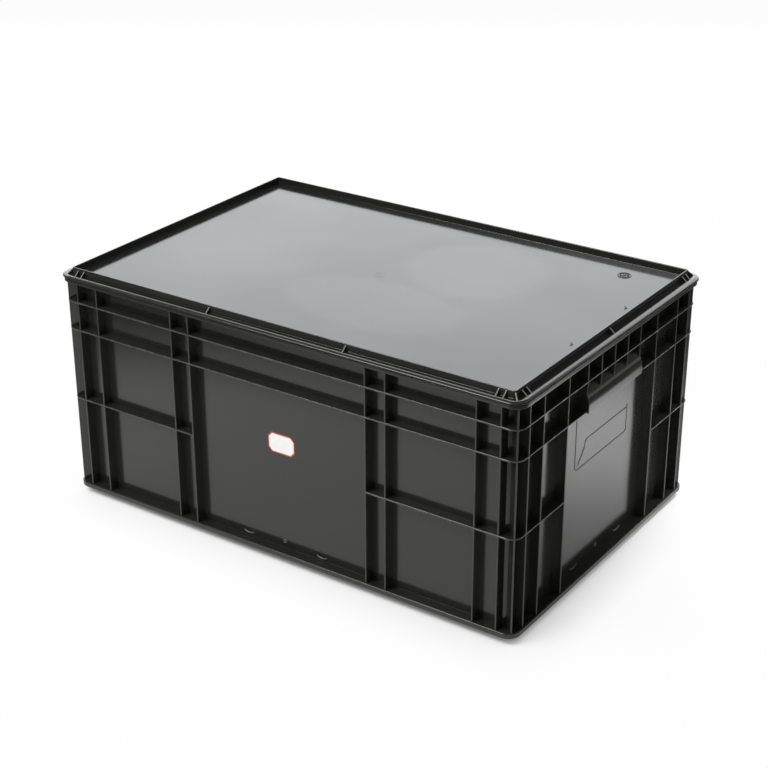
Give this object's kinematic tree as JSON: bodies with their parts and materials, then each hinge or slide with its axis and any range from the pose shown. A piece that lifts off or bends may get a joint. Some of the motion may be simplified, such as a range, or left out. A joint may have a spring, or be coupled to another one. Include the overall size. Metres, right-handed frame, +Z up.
{
  "type": "stacking plastic crate",
  "caption": "Black ribbed plastic stacking crate with hooded hand grips in its end walls, a set-in foot and a loose lid whose raised ridge locates the foot of the crate above.",
  "frame": {"origin": "on the floor, under the middle of the crate", "axes": "+X along the long walls, +Y towards the long wall without the sticker, +Z up"},
  "size_m": [0.6, 0.4, 0.2823],
  "materials": {
    "crate_plastic": "black polypropylene, satin sheen",
    "lid_plastic": "black polypropylene, satin sheen",
    "sticker_paper": "white coated paper with a thin red border"
  },
  "bodies": {
    "crate": {"crate_body": "crate_plastic", "paper_sticker": "sticker_paper"},
    "lid": {"lid": "lid_plastic"}
  },
  "joints": [
    {"name": "lid_lift", "type": "slide", "parent": "crate", "child": "lid", "axis": [0, 0, 1], "range_m": [0, 0.3]}
  ]
}
